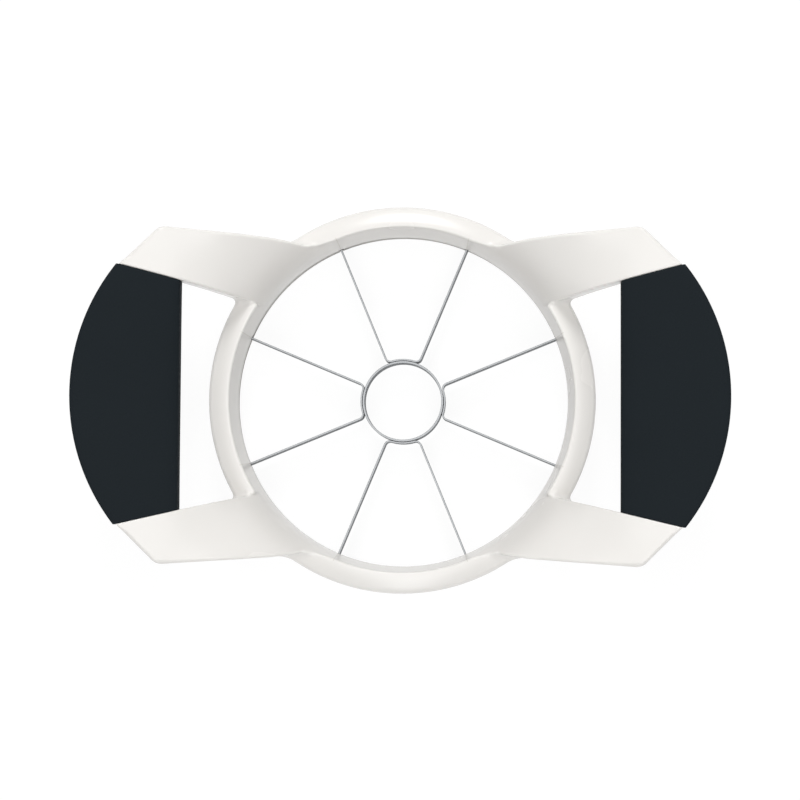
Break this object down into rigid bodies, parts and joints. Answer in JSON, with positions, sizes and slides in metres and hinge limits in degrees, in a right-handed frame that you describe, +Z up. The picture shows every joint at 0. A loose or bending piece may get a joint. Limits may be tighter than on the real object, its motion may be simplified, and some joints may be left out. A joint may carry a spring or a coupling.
{
  "type": "apple wedger",
  "caption": "Hand press that pushes radial steel blades and a core ring down through an apple, in a ring frame with raised arms and dark soft grips.",
  "frame": {"origin": "centre of the footprint, on the board that the ring stands on", "axes": "+X along the two hand grips, +Y across them, +Z up from the board"},
  "size_m": [0.1822, 0.111, 0.0452],
  "materials": {
    "frame_plastic": "white ABS, satin moulded",
    "clamp_plastic": "white ABS, plain moulded",
    "blade_steel": "stainless strip, rolled, with a ground lower edge",
    "grip_rubber": "soft thermoplastic rubber, fine matte grain"
  },
  "bodies": {
    "root": {"frame_moulding": "frame_plastic", "blade_clamp_ring": "clamp_plastic", "core_ring": "blade_steel", "blade_strip_right": "blade_steel", "blade_strip_rear": "blade_steel", "blade_strip_left": "blade_steel", "blade_strip_front": "blade_steel", "grip_right": "grip_rubber", "grip_left": "grip_rubber"}
  },
  "joints": []
}
